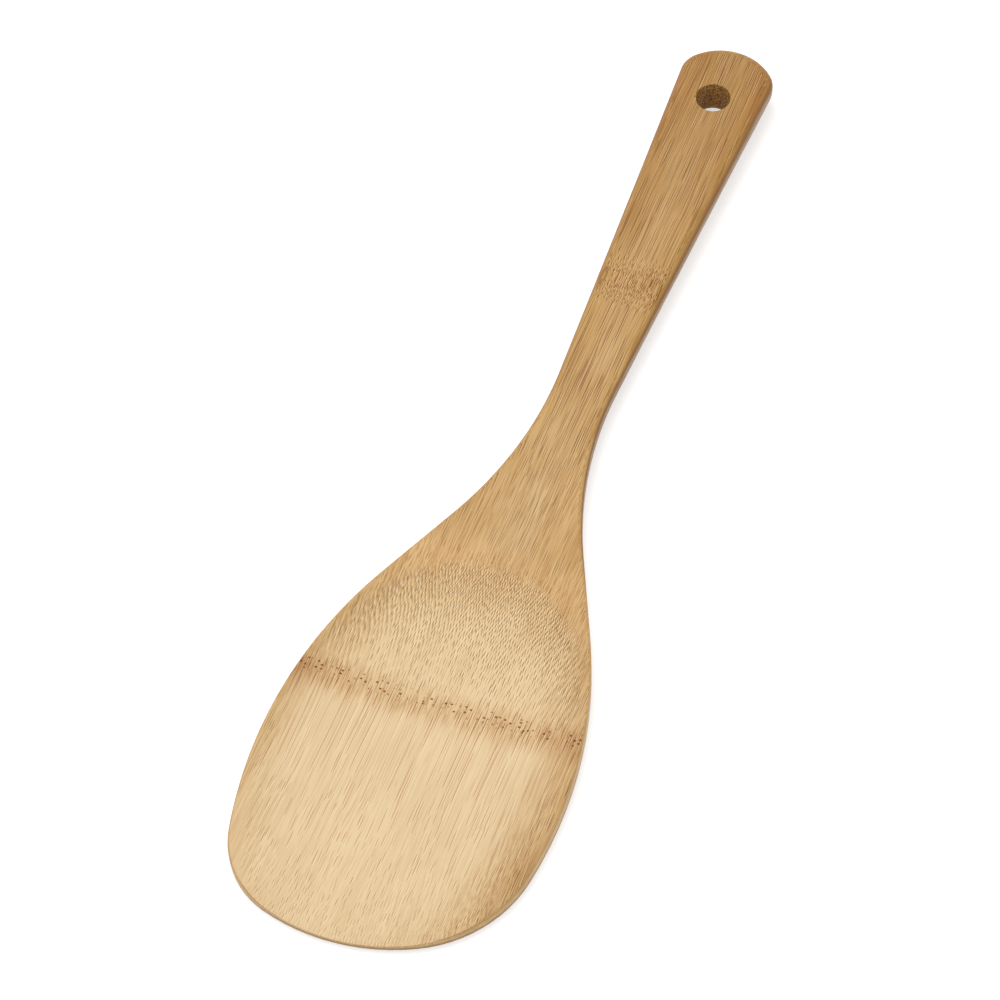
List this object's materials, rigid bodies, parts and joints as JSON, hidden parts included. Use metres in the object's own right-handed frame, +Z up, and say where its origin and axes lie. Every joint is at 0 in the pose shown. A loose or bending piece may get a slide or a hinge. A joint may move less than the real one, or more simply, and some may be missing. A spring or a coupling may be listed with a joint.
{
  "type": "rice paddle",
  "caption": "Flat bamboo rice paddle with a broad, shallowly scooped blade, a flared handle and a hanging hole in the butt.",
  "frame": {"origin": "middle of the bounding box, on the flat back that the paddle rests on", "axes": "+Y from the blade's tip to the handle's butt, +X to the right seen from above with the butt away, +Z up out of the face"},
  "size_m": [0.066, 0.245, 0.0087],
  "materials": {
    "face_bamboo": "oiled, satin",
    "back_bamboo": "oiled, satin",
    "cured_glue": "cured, matte"
  },
  "bodies": {
    "root": {"face_ply": "face_bamboo", "back_ply": "back_bamboo", "glue_line": "cured_glue"}
  },
  "joints": []
}
